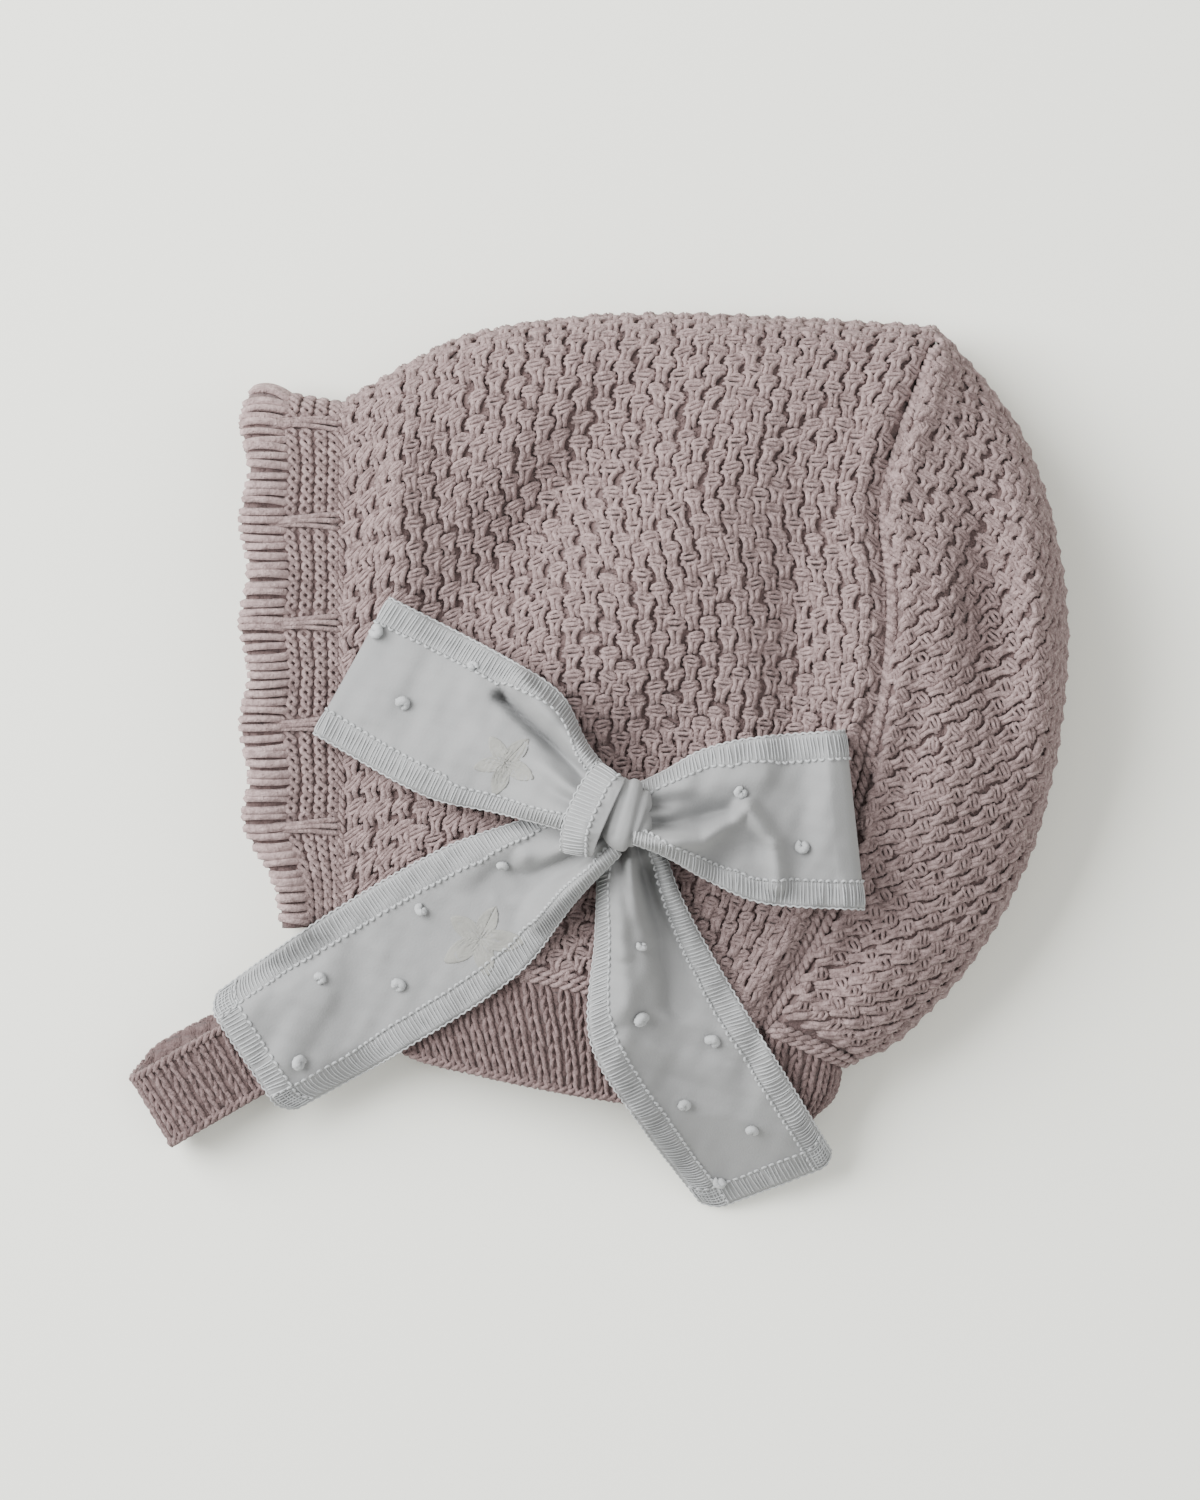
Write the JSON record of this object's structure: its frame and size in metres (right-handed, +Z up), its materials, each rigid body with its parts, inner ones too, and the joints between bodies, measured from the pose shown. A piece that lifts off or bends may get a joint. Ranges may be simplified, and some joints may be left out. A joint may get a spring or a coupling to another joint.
{
  "type": "baby bonnet",
  "caption": "Pink knitted baby bonnet with a gathered face trim, ribbed neck band, chin strap and a white dotted ribbon bow, lying flat on its side",
  "frame": {"origin": "on the surface that the bonnet lies on, under the middle of its side", "axes": "+X from the face opening to the back of the head, +Y from the neck to the crown, +Z up from the surface that the bonnet lies on"},
  "size_m": [0.186, 0.1786, 0.0419],
  "materials": {
    "knit": "matte cotton knit in seed stitch",
    "rib": "matte cotton rib knit",
    "ribbon": "matte white cotton with tufted dots and overlocked edges"
  },
  "bodies": {
    "root": {"crown_band": "knit", "back_panel": "knit", "face_trim": "knit", "neck_band": "rib", "chin_strap": "rib", "bow_knot": "ribbon", "bow_loop_front": "ribbon", "bow_loop_back": "ribbon", "bow_tail_front": "ribbon", "bow_tail_back": "ribbon"}
  },
  "joints": []
}
